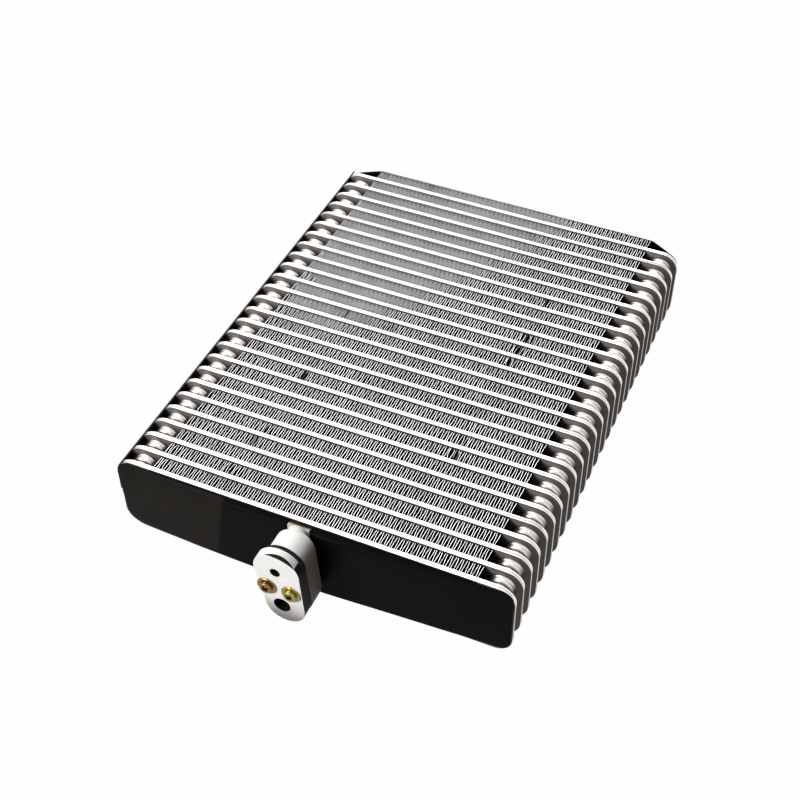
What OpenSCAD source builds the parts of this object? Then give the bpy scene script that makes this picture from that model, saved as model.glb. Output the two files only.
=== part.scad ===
// Laminated evaporator core: pressed-plate tubes with tank cups at both ends, corrugated fins
// between them, a cast joint block on the front and sheets of insulation on both end faces.
// The core lies flat. X runs along the tubes, Y along the stack and Z through the core's depth.
// The origin is the middle of the bounding box's base.

/* [Core] */
// Number of tubes in the stack
tube_count = 26; // [6:1:26]
// Distance from one tube to the next
tube_pitch = 11; // [9:0.5:14]
// Length of a tube plate, tank end to tank end
plate_len = 218; // [160:1:260]
// Depth of the core, in the direction of the air
core_depth = 46; // [40:1:70]
// Corner radius of a tube plate
plate_corner_r = 9.5; // [5:0.5:14]

/* [Tube plates] */
// Outer thickness of a tube where the fins touch it
tube_t = 2.8; // [2:0.1:4]
// Thickness of the plate metal
plate_t = 0.5; // [0.4:0.05:0.7]
// Width of the solid brazed rim round a tube
rim_w = 2.5; // [2:0.1:4]
// Thickness of a tube's edge, where the two plates' rims meet
edge_t = 2.3; // [1.6:0.1:2.6]
// Width of the open seam between the two plates, all round the edge
seam_w = 0.2; // [0.1:0.05:0.5]
// Depth of that seam
seam_depth = 0.4; // [0.2:0.1:1]
// Width of the flat rib that parts the two passes of a tube
rib_w = 2.4; // [1.5:0.1:4]

/* [Tank cups] */
// Width of a tank cup along the tube
cup_w = 14; // [10:0.5:16]
// Distance from the plate's edge to the cup's wall
cup_inset = 3.4; // [2.6:0.1:6]
// Radius of the cup's rounded shoulder
cup_shoulder_r = 1.9; // [1:0.1:2.5]
// Width of the hole that joins one cup to the next
cup_hole_w = 7; // [4:0.5:7.5]

/* [Fins] */
// Number of walls in one corrugated fin
fin_walls = 127; // [61:2:141]
// Distance from a fin's end to the side of the tank cups
fin_to_cup = 2.1; // [1:0.1:8]
// Thickness of the fin strip
fin_t = 0.16; // [0.1:0.01:0.3]
// Distance that a fin wall runs sideways from one crest to the next
fin_slant = 0.3; // [0.2:0.05:0.7]
// Distance that the fins stand back from the plates' edges
fin_recess = 0.7; // [0:0.1:3]

/* [Front duct cover] */
// Height of the raised passages over the first tube
duct_h = 1.8; // [1.4:0.1:3]
// Width of the narrow liquid passage
liquid_duct_w = 9; // [8:0.5:10]
// Width of the wide suction passage
suction_duct_w = 14; // [12:0.5:15]
// Distance from the block to the far end of the liquid passage, towards the left tank
liquid_duct_reach = 46; // [30:1:50]
// Distance from the block to the far end of the suction passage, towards the right tank
suction_duct_reach = 16; // [12:1:60]
// Width of the brazed flange round a passage
duct_flange_w = 1.8; // [1:0.1:2]
// Thickness of the duct cover's metal
duct_t = 0.8; // [0.6:0.05:1]

/* [Joint block] */
// Distance of the block's middle from the core's middle plane, towards the left tank
block_off_x = 2.6; // [-30:0.1:40]
// Height of the block's middle above the core's lower edge
block_mid_z = 23.1; // [23.1:0.1:40]
// Lean of the block's long axis, top towards the left tank
block_roll = 6; // [0:0.5:15]
// Distance from the core's front face to the joint face
joint_face_reach = 26.1; // [20:0.5:45]
// Radius of the round top end of the flange plate
flange_top_r = 12.5; // [11:0.1:13]
// Radius of the round lower end of the flange plate
flange_low_r = 10.9; // [9.5:0.1:12]
// Distance between the centres of the two round ends
flange_ends = 24.6; // [22:0.1:32]
// Lean of the flange's outline against the line through the ports
flange_lean = 2; // [0:0.5:4]
// Thickness of the flange plate
flange_t = 5.1; // [3:0.1:7]
// Width of the crescent bevel on the flange's upper edge
crescent_w = 1.3; // [0.5:0.1:2]
// Depth of the crescent bevel from the joint face
crescent_h = 1.6; // [0.5:0.1:3]
// Thickness of the seal behind the flange plate
seal_t = 2.6; // [1:0.1:4]
// Distance that the seal stands back from the flange's edge
seal_inset = 0.7; // [0.3:0.1:1.5]
// Offset of the seal from the flange's middle line
seal_off = 0.6; // [0:0.1:1]
// Length of the cast body behind the seal
body_len = 13.1; // [11:0.1:14]
// Distance of the body's top below the flange's
body_top_gap = 1; // [0:0.1:2]
// Radius of the body's round ends
body_r = 10.6; // [9:0.1:11]
// Offset of the body's upper end from the flange's middle line
body_top_off = 1.3; // [0:0.1:2.5]
// Offset of the body's lower end from the flange's middle line
body_low_off = 0.8; // [0:0.1:2]
// Metal round a screw in the body
screw_boss_t = 1.2; // [1:0.1:2]
// Rounding of the body's back edge
body_round = 2.8; // [1:0.1:4]
// Width of the neck between the body and its foot
neck_w = 10; // [9:0.5:12]
// Distance of the neck's middle from the core's middle plane, towards the left tank
neck_off_x = 3.4; // [-30:0.1:40]
// Distance that the neck's top stands above the core's upper edge
neck_rise = 0.4; // [-2:0.1:1]
// Width of the block's foot on the duct cover
foot_w = 11.8; // [11:0.1:17]
// Thickness of the block's foot
foot_t = 1.5; // [1:0.1:3]
// Distance of the foot's upper end from the core's upper edge
foot_top_gap = 1.2; // [0:0.1:3]
// Distance of the foot's lower end from the core's lower edge
foot_low_gap = 4; // [3:0.1:6]

/* [Ports and screws] */
// Radius of the liquid port
liquid_port_r = 2.75; // [2:0.05:3.5]
// Radius of the suction port
suction_port_r = 4.6; // [3.5:0.05:5.5]
// Depth of both ports from the joint face
port_depth = 15; // [12:0.5:17]
// Distance between the two ports
port_pitch = 24; // [22:0.1:25]
// Distance of the ports from the flange's middle line
port_off = 1.2; // [0:0.1:2]
// Distance between the two screws
screw_pitch = 13.2; // [12:0.1:14]
// Distance of the screws below the middle between the ports
screw_drop = 0.2; // [0:0.05:2]
// Distance of the screws' middle from the flange's middle line
screw_off = 0.9; // [0:0.1:2]
// Skew of the line through the screws
screw_skew = 7; // [0:0.5:10]
// Radius of a screw's thread
screw_r = 2; // [1.5:0.05:2.5]
// Length of a screw below its washer
screw_len = 13; // [9:0.5:14]
// Radius of a screw's pan head
head_r = 3.5; // [3:0.1:4]
// Height of a screw's pan head
head_h = 2.3; // [1.6:0.1:3]
// Radius of a washer
washer_r = 5.1; // [4.2:0.1:5.3]
// Thickness of a washer
washer_t = 0.8; // [0.5:0.1:1.2]

/* [Insulation] */
// Thickness of the sheets on the front and back faces
sheet_t = 1; // [0.6:0.1:2]
// Distance that the sheets stand back from the plates' outline
sheet_inset = 0.5; // [0:0.1:2]
// Distance that the front sheet stands back from the plates' left edge
sheet_left_inset = 1.6; // [0.5:0.1:4]
// Distance that the front sheet stands back from the plates' right edge
sheet_right_inset = 1; // [0.5:0.1:4]
// Distance that the front sheet's lower edge rises towards its right end
sheet_right_rise = 3; // [0:0.1:5]
// Width of the seal tape along the left side
tape_w = 21; // [12:0.5:30]
// Thickness of the seal tape
tape_t = 0.8; // [0.6:0.1:4]
// Distance of the tape's upper edge below the plates' upper edge
tape_drop = 2.4; // [1:0.1:6]

/* [Hidden] */
$fn = 96;
small_fn = 32;
fit_gap = 0.3;           // clearance between pieces that are not brazed
over = 1;                // length that a cutting shape runs past what it cuts

bevel_w = (tube_t - edge_t) / 2;
fin_h = tube_pitch - tube_t;
cup_h = fin_h / 2;
cup_len = core_depth - 2 * cup_inset;
cup_x = plate_len / 2 - cup_inset - cup_w / 2;
cup_inner_x = cup_x - cup_w / 2;
fin_span = 2 * (cup_inner_x - fin_to_cup);
fin_step = fin_span / fin_walls;
fin_crest_w = fin_step - fin_slant;
stack_y = (tube_count - 1) * tube_pitch;
front_y = -tube_t / 2;
back_y = stack_y + tube_t / 2 + fin_h;

joint_face_y = front_y - joint_face_reach;
flange_back_y = joint_face_y + flange_t;
seal_back_y = flange_back_y + seal_t;
body_back_y = seal_back_y + body_len;
foot_back_y = front_y - duct_h;
foot_front_y = foot_back_y - foot_t;
head_top = washer_t + head_h;

// Where the ports lie in the core's own frame.
function joint_x(u, v) = -block_off_x + u * cos(block_roll) - v * sin(block_roll);
function joint_z(u, v) = block_mid_z + u * sin(block_roll) + v * cos(block_roll);
liquid_x = joint_x(-port_off, port_pitch / 2);
liquid_z = joint_z(-port_off, port_pitch / 2);
suction_x = joint_x(-port_off, -port_pitch / 2);
suction_z = joint_z(-port_off, -port_pitch / 2);
// The passages narrow behind the ports, to pass through the neck.
liquid_bore_r = 1.5;
suction_bore_r = 3.2;

foot_len = core_depth - foot_top_gap - foot_low_gap;
pad_inset = 1.2;         // the duct cover's pad ends this far inside the foot's upper end
neck_over = 0.6;         // the neck's lower end runs this far past the foot
neck_low = foot_low_gap - neck_over;

// The front sheet's creases: points in X and Z, and how far the sheet stands out there.
sheet_low_r = 11;
sheet_right_low_r = 6;
sheet_top_r = 6;
tent_h = duct_h + foot_t + sheet_t;
tent_creases = [
    [-44.5, core_depth - 2.3, tent_h - 0.9],
    [-49.5, 12, tent_h - 0.9],
    [-68, 1.6, tent_h - 1.3],
    [suction_x + suction_duct_reach, core_depth - 2.8, tent_h],
    [suction_x + suction_bore_r + suction_duct_w / 2, sheet_inset, tent_h - 0.3]];
notch_gap = 0.8;         // between the foot and the sheet's cut-out

crescent_turn = 68;      // direction of the crescent's middle from the joint's X axis
crescent_off = 8.2;      // distance of its cone's axis from the flange's upper centre

x_mid = -tape_t / 2;
y_mid = (joint_face_y - head_top + back_y + sheet_t) / 2;

function two_digits(n) = n < 10 ? str("0", n) : str(n);
TUBE_NODES = [for (i = [1 : tube_count]) str("tube_", two_digits(i))];
FIN_NODES = [for (i = [1 : tube_count]) str("fin_", two_digits(i))];

aluminium = [0.80, 0.80, 0.80];
fin_grey = [0.62, 0.62, 0.62];
cast_grey = [0.84, 0.83, 0.81];
sheet_black = [0.10, 0.095, 0.09];
zinc_yellow = [0.78, 0.62, 0.26];

// The core frame stands X and Y off the bounding box's middle.
module in_place() {
    translate([-x_mid, -y_mid, 0]) children();
}

// Turns a shape drawn in X and Y, with its thickness along Z, to face the front of the core.
module facing_front() {
    rotate([90, 0, 0]) children();
}

// A rectangle with round corners, its lower edge on the X axis.
module plate_outline(inset, r = plate_corner_r) {
    w = plate_len - 2 * inset;
    d = core_depth - 2 * inset;
    rr = max(r - inset, 0.5);
    translate([0, core_depth / 2]) {
        square([w - 2 * rr, d], center = true);
        square([w, d - 2 * rr], center = true);
        for (sx = [-1, 1], sy = [-1, 1])
            translate([sx * (w / 2 - rr), sy * (d / 2 - rr)]) circle(rr);
    }
}

// A slab of that outline with its upper edge bevelled: cones at the corners and two crossing bars.
module bevelled_slab(base_h, bevel) {
    w = plate_len;
    d = core_depth;
    r = plate_corner_r;
    cx = w / 2 - r;
    cy = d / 2 - r;
    top = base_h + bevel;
    linear_extrude(base_h) plate_outline(0);
    translate([0, core_depth / 2, 0]) {
        for (sx = [-1, 1], sy = [-1, 1])
            translate([sx * cx, sy * cy, base_h]) cylinder(h = bevel, r1 = r, r2 = r - bevel);
        translate([-cx, 0, 0]) rotate([90, 0, 90]) linear_extrude(2 * cx)
            polygon([[-d / 2, base_h], [d / 2, base_h], [d / 2 - bevel, top], [-d / 2 + bevel, top]]);
        translate([0, cy, 0]) rotate([90, 0, 0]) linear_extrude(2 * cy)
            polygon([[-w / 2, base_h], [w / 2, base_h], [w / 2 - bevel, top], [-w / 2 + bevel, top]]);
    }
}

// Half the section of a cup: straight wall, round shoulder and flat brazed land.
module cup_section(r, h, shoulder) {
    square([r - shoulder, h]);
    square([r, h - shoulder]);
    translate([r - shoulder, h - shoulder]) intersection() {
        circle(shoulder);
        square(shoulder);
    }
}

// An oblong cup: two turned ends and the same section drawn between them.
module cup_form(w, len, h, shoulder) {
    run = (len - w) / 2;
    for (s = [-1, 1])
        translate([0, s * run, 0]) rotate_extrude() cup_section(w / 2, h, shoulder);
    translate([0, run, 0]) rotate([90, 0, 0]) linear_extrude(2 * run)
        for (m = [0, 1]) mirror([m, 0, 0]) cup_section(w / 2, h, shoulder);
}

module oblong(w, len) {
    run = (len - w) / 2;
    square([w, 2 * run], center = true);
    for (s = [-1, 1]) translate([0, s * run]) circle(w / 2);
}

module at_cups() {
    for (s = [-1, 1]) translate([s * cup_x, core_depth / 2, 0]) children();
}

// One pressed plate, its seam on the XY plane and its outside up.
module half_plate(with_cups) {
    pass_d = (core_depth - 2 * rim_w - rib_w) / 2;
    hollow_h = tube_t / 2 - plate_t;
    cup_top = tube_t / 2 + cup_h;
    difference() {
        union() {
            linear_extrude(seam_w / 2) plate_outline(seam_depth);
            translate([0, 0, seam_w / 2]) bevelled_slab((edge_t - seam_w) / 2, bevel_w);
            if (with_cups) at_cups() cup_form(cup_w, cup_len, cup_top, cup_shoulder_r);
        }
        // two flat passes along the tube, either side of the rib
        for (s = [-1, 1])
            translate([-cup_x, core_depth / 2 + s * (rib_w + pass_d) / 2 - pass_d / 2, -1])
                cube([2 * cup_x, pass_d, hollow_h + 1]);
        at_cups() {
            w = cup_w - 2 * plate_t;
            len = cup_len - 2 * plate_t;
            depth = with_cups ? cup_top - plate_t : hollow_h;
            translate([0, 0, -1]) cup_form(w, len, depth + 1, cup_shoulder_r - plate_t);
            if (with_cups) linear_extrude(cup_top + 1) oblong(cup_hole_w, cup_len - cup_w + cup_hole_w);
        }
    }
}

// Two plates brazed rim to rim. The outer faces of the stack have no cups.
module tube(i) {
    color(aluminium) in_place() translate([0, i * tube_pitch, 0]) {
        facing_front() half_plate(i > 0);
        mirror([0, 1, 0]) facing_front() half_plate(i < tube_count - 1);
    }
}

// One corrugated strip: walls from tube to tube, joined by flat crests, with half a crest at each end.
function crest_x(j) = -fin_span / 2 + (j + 1) * fin_step;
function crest_y(j, left) = j % 2 == 0 ? (left ? fin_h : fin_h - fin_t) : (left ? fin_t : 0);
function crest_half(j, left) = (fin_crest_w + ((j % 2 == 0) == left ? fin_t : -fin_t)) / 2;
function in_span(x) = max(-fin_span / 2, min(fin_span / 2, x));
function fin_side(left) = [for (j = [-1 : fin_walls - 1], s = [-1, 1])
    [in_span(crest_x(j) + s * crest_half(j, left)), crest_y(j, left)]];
function reversed(list) = [for (k = [len(list) - 1 : -1 : 0]) list[k]];

module fin(i) {
    color(fin_grey) in_place()
        translate([0, i * tube_pitch + tube_t / 2, fin_recess])
            linear_extrude(core_depth - 2 * fin_recess)
                polygon(concat(fin_side(true), reversed(fin_side(false))));
}

// A raised passage of the duct cover, or its flange, with round ends at x0 and x1.
module duct_passage(x0, x1, z_mid, w, grow, h) {
    translate([0, z_mid, 0]) linear_extrude(h) {
        translate([x0, -w / 2 - grow]) square([x1 - x0, w + 2 * grow]);
        for (x = [x0, x1]) translate([x, 0]) circle(w / 2 + grow);
    }
}

module front_duct_cover() {
    liquid = [liquid_x - liquid_duct_reach, liquid_x, liquid_z, liquid_duct_w];
    suction = [suction_x, suction_x + suction_duct_reach, suction_z, suction_duct_w];
    color(aluminium) in_place() translate([0, front_y, 0]) facing_front() difference() {
        union() {
            for (d = [liquid, suction]) {
                duct_passage(d[0], d[1], d[2], d[3], duct_flange_w, duct_t);
                duct_passage(d[0], d[1], d[2], d[3], 0, duct_h);
            }
            // the pad under the block's foot, which joins the two passages
            translate([-neck_off_x - foot_w / 2, foot_low_gap, 0])
                cube([foot_w, foot_len - pad_inset, duct_h]);
        }
        for (d = [liquid, suction])
            translate([0, 0, -over])
                duct_passage(d[0], d[1], d[2], d[3], -duct_t, duct_h - duct_t + over);
        translate([liquid_x, liquid_z, -over]) cylinder(h = duct_h + 2 * over, r = liquid_bore_r);
        translate([suction_x, suction_z, -over]) cylinder(h = duct_h + 2 * over, r = suction_bore_r);
    }
}

// Frame of the joint: origin in the middle of the flange's face, X to the right, Y up, Z forward.
module at_joint(y) {
    in_place() translate([-block_off_x, y, block_mid_z]) facing_front() rotate(block_roll) children();
}

// A slot with round ends of two sizes, joined by their tangents.
module joint_outline(inset) {
    r1 = flange_top_r - inset;
    r2 = flange_low_r - inset;
    a = asin((r1 - r2) / flange_ends);
    upper = flange_ends / 2;
    rotate(flange_lean) {
        translate([0, upper]) circle(r1);
        translate([0, -upper]) circle(r2);
        polygon([[r1 * cos(a), upper + r1 * sin(a)], [-r1 * cos(a), upper + r1 * sin(a)],
                 [-r2 * cos(a), -upper + r2 * sin(a)], [r2 * cos(a), -upper + r2 * sin(a)]]);
    }
}

module at_ports(liquid, suction) {
    if (liquid) translate([-port_off, port_pitch / 2, 0]) children();
    if (suction) translate([-port_off, -port_pitch / 2, 0]) children();
}

module at_screws() {
    for (s = [-1, 1])
        translate([-screw_off + s * screw_pitch / 2 * cos(screw_skew),
                   -screw_drop - s * screw_pitch / 2 * sin(screw_skew), 0]) children();
}

module port_bores(depth) {
    at_ports(true, false) translate([0, 0, -depth]) cylinder(h = depth + over, r = liquid_port_r);
    at_ports(false, true) translate([0, 0, -depth]) cylinder(h = depth + over, r = suction_port_r);
}

// What the crescent bevel takes off: a block less a cone that leans out towards the back.
module crescent_cut() {
    back_r = flange_top_r + crescent_off;
    slope = crescent_w / crescent_h;
    rotate(flange_lean) translate([0, flange_ends / 2, -crescent_h]) rotate(crescent_turn) difference() {
        translate([0, -flange_top_r - over, 0])
            cube([flange_top_r + over, 2 * (flange_top_r + over), crescent_h + over]);
        translate([-crescent_off, 0, 0])
            cylinder(h = crescent_h + over, r1 = back_r, r2 = back_r - slope * (crescent_h + over));
    }
}

module flange_plate() {
    color(cast_grey) at_joint(joint_face_y) difference() {
        translate([0, 0, -flange_t]) linear_extrude(flange_t) joint_outline(0);
        crescent_cut();
        port_bores(flange_t + over);
        at_screws() translate([0, 0, -flange_t - over])
            cylinder(h = flange_t + 2 * over, r = screw_r + fit_gap);
    }
}

module joint_seal() {
    color(sheet_black) at_joint(flange_back_y) difference() {
        translate([seal_off, 0, -seal_t]) linear_extrude(seal_t) joint_outline(seal_inset);
        port_bores(seal_t + over);
        at_screws() translate([0, 0, -seal_t - over])
            cylinder(h = seal_t + 2 * over, r = screw_r + fit_gap);
    }
}

// The cast body, its open face at the seal and its back edge rounded.
module cast_body() {
    upper = [body_top_off, flange_ends / 2 + flange_top_r - body_top_gap - body_r];
    lower = [body_low_off, -flange_ends / 2 - flange_low_r + body_r];
    run = upper - lower;
    mirror([0, 0, 1]) {
        translate([(upper.x + lower.x) / 2, (upper.y + lower.y) / 2, 0]) rotate(-atan(run.x / run.y))
            cup_form(2 * body_r, norm(run) + 2 * body_r, body_len, body_round);
        at_screws() rotate_extrude() cup_section(screw_r + screw_boss_t, body_len, body_round);
    }
}

module joint_block() {
    blind = port_depth - flange_t - seal_t;
    neck_len = core_depth + neck_rise - neck_low;
    passage_len = foot_back_y - seal_back_y - blind + 2 * over;
    color(cast_grey) difference() {
        union() {
            at_joint(seal_back_y) cast_body();
            in_place() {
                translate([-neck_off_x, foot_front_y, neck_low + neck_len / 2]) facing_front()
                    linear_extrude(foot_front_y - body_back_y + body_round) oblong(neck_w, neck_len);
                translate([-neck_off_x - foot_w / 2, foot_front_y, foot_low_gap])
                    cube([foot_w, foot_t, foot_len]);
            }
        }
        at_joint(seal_back_y) {
            port_bores(blind);
            at_screws() translate([0, 0, -blind]) cylinder(h = blind + over, r = screw_r);
        }
        in_place() {
            translate([liquid_x, foot_back_y + over, liquid_z]) facing_front()
                cylinder(h = passage_len, r = liquid_bore_r);
            translate([suction_x, foot_back_y + over, suction_z]) facing_front()
                cylinder(h = passage_len, r = suction_bore_r);
        }
    }
}

// A pan-headed screw with a cross recess, and its washer.
module flange_screws() {
    recess_w = 1;
    recess_len = head_r * 1.2;
    recess_depth = 1.2;
    recess_turn = 30;
    color(zinc_yellow) at_joint(joint_face_y) at_screws() {
        difference() {
            union() {
                cylinder(h = washer_t, r = washer_r);
                translate([0, 0, washer_t - screw_len]) cylinder(h = screw_len, r = screw_r);
                translate([0, 0, washer_t]) cylinder(h = head_h, r = head_r);
            }
            for (a = [0, 90]) rotate(a + recess_turn)
                translate([-recess_len / 2, -recess_w / 2, washer_t + head_h - recess_depth])
                    cube([recess_len, recess_w, recess_depth + over]);
        }
    }
}

module sheet_outline(low_left_r, low_right_r, top_r) {
    x0 = -plate_len / 2 + sheet_left_inset;
    x1 = plate_len / 2 - sheet_right_inset;
    z1 = core_depth - sheet_inset - top_r;
    hull() {
        translate([x0 + low_left_r, sheet_inset + low_left_r]) circle(low_left_r, $fn = small_fn);
        translate([x1 - low_right_r, sheet_inset + sheet_right_rise + low_right_r])
            circle(low_right_r, $fn = small_fn);
        for (x = [x0 + top_r, x1 - top_r]) translate([x, z1]) circle(top_r, $fn = small_fn);
    }
}

// The front sheet is drawn tight over the duct cover and the block's foot.
module front_tent() {
    crease_w = 0.5;
    hull() {
        facing_front() linear_extrude(sheet_t)
            sheet_outline(sheet_low_r, sheet_right_low_r, sheet_top_r);
        for (c = tent_creases) translate([c[0], -c[2], c[1]]) cube([crease_w, c[2], crease_w]);
    }
}

module front_sheet() {
    notch_w = foot_w + 2 * notch_gap;
    notch_x = -neck_off_x - notch_w / 2;
    notch_low = neck_low - fit_gap;
    depth = tent_h + over;
    color(sheet_black) in_place() translate([0, front_y, 0]) difference() {
        front_tent();
        translate([0, sheet_t, 0]) front_tent();
        translate([notch_x, -depth, notch_low]) cube([notch_w, depth + over, core_depth]);
    }
}

module back_sheet() {
    flat_w = fin_span / 2 + fit_gap;
    edge_w = plate_len / 2 - sheet_inset - plate_corner_r;
    h = fin_h;
    color(sheet_black) in_place() translate([0, stack_y + tube_t / 2, 0]) intersection() {
        linear_extrude(core_depth - 1) polygon([
            [-plate_len / 2, 0], [-edge_w, 0], [-flat_w, h], [flat_w, h], [edge_w, 0], [plate_len / 2, 0],
            [plate_len / 2, sheet_t], [edge_w, sheet_t], [flat_w, h + sheet_t],
            [-flat_w, h + sheet_t], [-edge_w, sheet_t], [-plate_len / 2, sheet_t]]);
        translate([0, h + 2 * sheet_t, 0]) facing_front()
            linear_extrude(h + 4 * sheet_t) plate_outline(sheet_inset);
    }
}

// The tape is laid round the plates' upper left corners, along the whole stack.
module side_tape() {
    len = stack_y + tube_t + fin_h / 2;
    top = core_depth - tape_drop;
    color(sheet_black) in_place() translate([0, front_y + len, 0]) facing_front()
        linear_extrude(len) intersection() {
            difference() {
                plate_outline(-tape_t);
                plate_outline(0);
            }
            translate([-plate_len / 2 - tape_t, top - tape_w]) square([plate_len / 4, tape_w]);
        }
}

for (i = [0 : tube_count - 1]) {
    tube(i);
    fin(i);
}
front_duct_cover();
joint_block();
joint_seal();
flange_plate();
flange_screws();
front_sheet();
back_sheet();
side_tape();
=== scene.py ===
import itertools
import math

import bmesh
import bpy
import numpy as np
from mathutils import Matrix, Vector


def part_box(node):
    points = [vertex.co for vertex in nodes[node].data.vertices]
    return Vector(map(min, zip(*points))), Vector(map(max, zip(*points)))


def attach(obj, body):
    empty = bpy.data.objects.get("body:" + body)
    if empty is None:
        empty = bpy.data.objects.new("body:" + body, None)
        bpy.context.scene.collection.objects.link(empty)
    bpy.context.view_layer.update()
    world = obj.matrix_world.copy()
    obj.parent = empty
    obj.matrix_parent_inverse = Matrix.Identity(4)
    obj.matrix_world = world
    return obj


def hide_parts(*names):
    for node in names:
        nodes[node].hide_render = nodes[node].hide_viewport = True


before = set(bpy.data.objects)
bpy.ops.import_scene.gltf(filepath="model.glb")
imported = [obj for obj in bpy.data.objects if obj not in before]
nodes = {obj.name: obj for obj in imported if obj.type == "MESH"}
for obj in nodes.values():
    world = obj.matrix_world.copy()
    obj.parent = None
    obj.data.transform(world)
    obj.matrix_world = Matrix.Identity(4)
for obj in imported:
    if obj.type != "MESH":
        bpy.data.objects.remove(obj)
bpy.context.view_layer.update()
mm = 0.001
print("frame loaded:", len(nodes), "nodes")


# the core that every piece keeps to, in mm: it lies flat, tubes along X and the stack along Y
core = {
    "middleX": 0.4,
    "halfWidth": 109.0,
    "depth": 46.0,
    "middleZ": 23.0,
    "corner": 9.5,
    "tubes": 26,
    "pitch": 11.0,
    "tubeThickness": 2.8,
}


def pitchShare(*places):
    # distances along the stack in mm, as shares of the tube pitch
    return tuple(place / core["pitch"] for place in places)


# camera: fitted to the tube ends
viewpoint = {
    "place": (0.2253, -0.5253, 0.5708),
    "look": (-0.2900, 0.6561, -0.6967),
    "right": (0.9146, 0.4043, 0.0),
    "lens": 63.54,
    "film": 36.0,
    "nearest": 0.01,
}


def addCamera(view):
    data = bpy.data.cameras.new("viewCamera")
    data.lens = view["lens"]
    data.sensor_width = view["film"]
    data.sensor_fit = "HORIZONTAL"
    data.clip_start = view["nearest"]
    back = -Vector(view["look"]).normalized()
    right = Vector(view["right"]).normalized()
    up = back.cross(right).normalized()
    camera = bpy.data.objects.new("viewCamera", data)
    turn = Matrix((right, up, back)).transposed().to_4x4()
    camera.matrix_world = Matrix.Translation(view["place"]) @ turn
    bpy.context.scene.collection.objects.link(camera)
    bpy.context.scene.camera = camera


# shader helpers: a node by its type, less the word ShaderNode, and its sockets by their names
def addNode(tree, kind, **settings):
    node = tree.nodes.new("ShaderNode" + kind)
    for name, value in settings.items():
        setattr(node, name, value)
    return node


def setInputs(node, **values):
    for name, value in values.items():
        node.inputs[name.replace("_", " ")].default_value = value
    return node


def join(source, target):
    target.id_data.links.new(source, target)


def mathNode(operation, first, second=None, clamp=False):
    # the node goes into the tree of whichever value is a socket
    tree = (second if isinstance(first, (int, float)) else first).id_data
    node = addNode(tree, "Math", operation=operation, use_clamp=clamp)
    for socket, value in zip(node.inputs, (first, second)):
        if isinstance(value, (int, float)):
            socket.default_value = value
        elif value is not None:
            join(value, socket)
    return node.outputs[0]


def product(first, second, clamp=False):
    return mathNode("MULTIPLY", first, second, clamp)


def distance(value, middle):
    # how far the value is from the middle, either way
    return mathNode("ABSOLUTE", mathNode("SUBTRACT", value, middle))


def mixColour(share, first, second):
    # of this node's sockets, 0 is the share, 6 and 7 are the colours, and output 2 is the mixed one
    node = addNode(share.id_data, "Mix", data_type="RGBA")
    for index, value in ((0, share), (6, first), (7, second)):
        if isinstance(value, (int, float)):
            node.inputs[index].default_value = value
        elif isinstance(value, tuple):
            node.inputs[index].default_value = (*value, 1.0)
        else:
            join(value, node.inputs[index])
    return node.outputs[2]


def mixShaders(share, first, second):
    node = addNode(share.id_data, "MixShader")
    for socket, source in zip(node.inputs, (share, first.outputs[0], second.outputs[0])):
        join(source, socket)
    return node.outputs[0]


def splitPlace(place):
    node = addNode(place.id_data, "SeparateXYZ")
    join(place, node.inputs[0])
    return node.outputs


def fading(value, band, low=1.0, high=0.0):
    # a smooth step from the first number of the band to the second
    share = addNode(value.id_data, "MapRange", interpolation_type="SMOOTHSTEP")
    setInputs(share, From_Min=band[0], From_Max=band[1], To_Min=low, To_Max=high)
    join(value, share.inputs["Value"])
    return share.outputs[0]


def rising(value, band, high=1.0):
    return fading(value, band, 0.0, high)


def span(value, limits):
    # a 0 to 1 value stretched to a range
    node = addNode(value.id_data, "MapRange")
    setInputs(node, To_Min=limits[0], To_Max=limits[1])
    join(value, node.inputs["Value"])
    return node.outputs[0]


# node groups that the materials share
def startGroup(name, numbers, outputs):
    group = bpy.data.node_groups.new(name, "ShaderNodeTree")
    group.interface.new_socket("Vector", in_out="INPUT", socket_type="NodeSocketVector")
    for label, value in numbers.items():
        socket = group.interface.new_socket(label, in_out="INPUT", socket_type="NodeSocketFloat")
        socket.default_value = value
    for label in outputs:
        group.interface.new_socket(label, in_out="OUTPUT", socket_type="NodeSocketFloat")
    given = group.nodes.new("NodeGroupInput").outputs
    return group, given, group.nodes.new("NodeGroupOutput").inputs


def makeGrainGroup():
    # fine metal grain: two noises of different size, and a height that mixes them
    sizes = {"Fine Size": 4000.0, "Broad Size": 60.0, "Mix": 0.5}
    group, given, out = startGroup("metalGrain", sizes, ("Fine", "Broad", "Height"))
    fine = setInputs(addNode(group, "TexNoise"), Detail=3.0, Roughness=0.6)
    broad = setInputs(addNode(group, "TexNoise"), Detail=4.0, Roughness=0.55)
    for noise, label in ((fine, "Fine"), (broad, "Broad")):
        join(given["Vector"], noise.inputs["Vector"])
        join(given[label + " Size"], noise.inputs["Scale"])
        join(noise.outputs["Fac"], out[label])
    rest = mathNode("SUBTRACT", 1.0, given["Mix"])
    height = mathNode("ADD", product(fine.outputs["Fac"], rest),
                      product(broad.outputs["Fac"], given["Mix"]))
    join(height, out["Height"])
    return group


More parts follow.
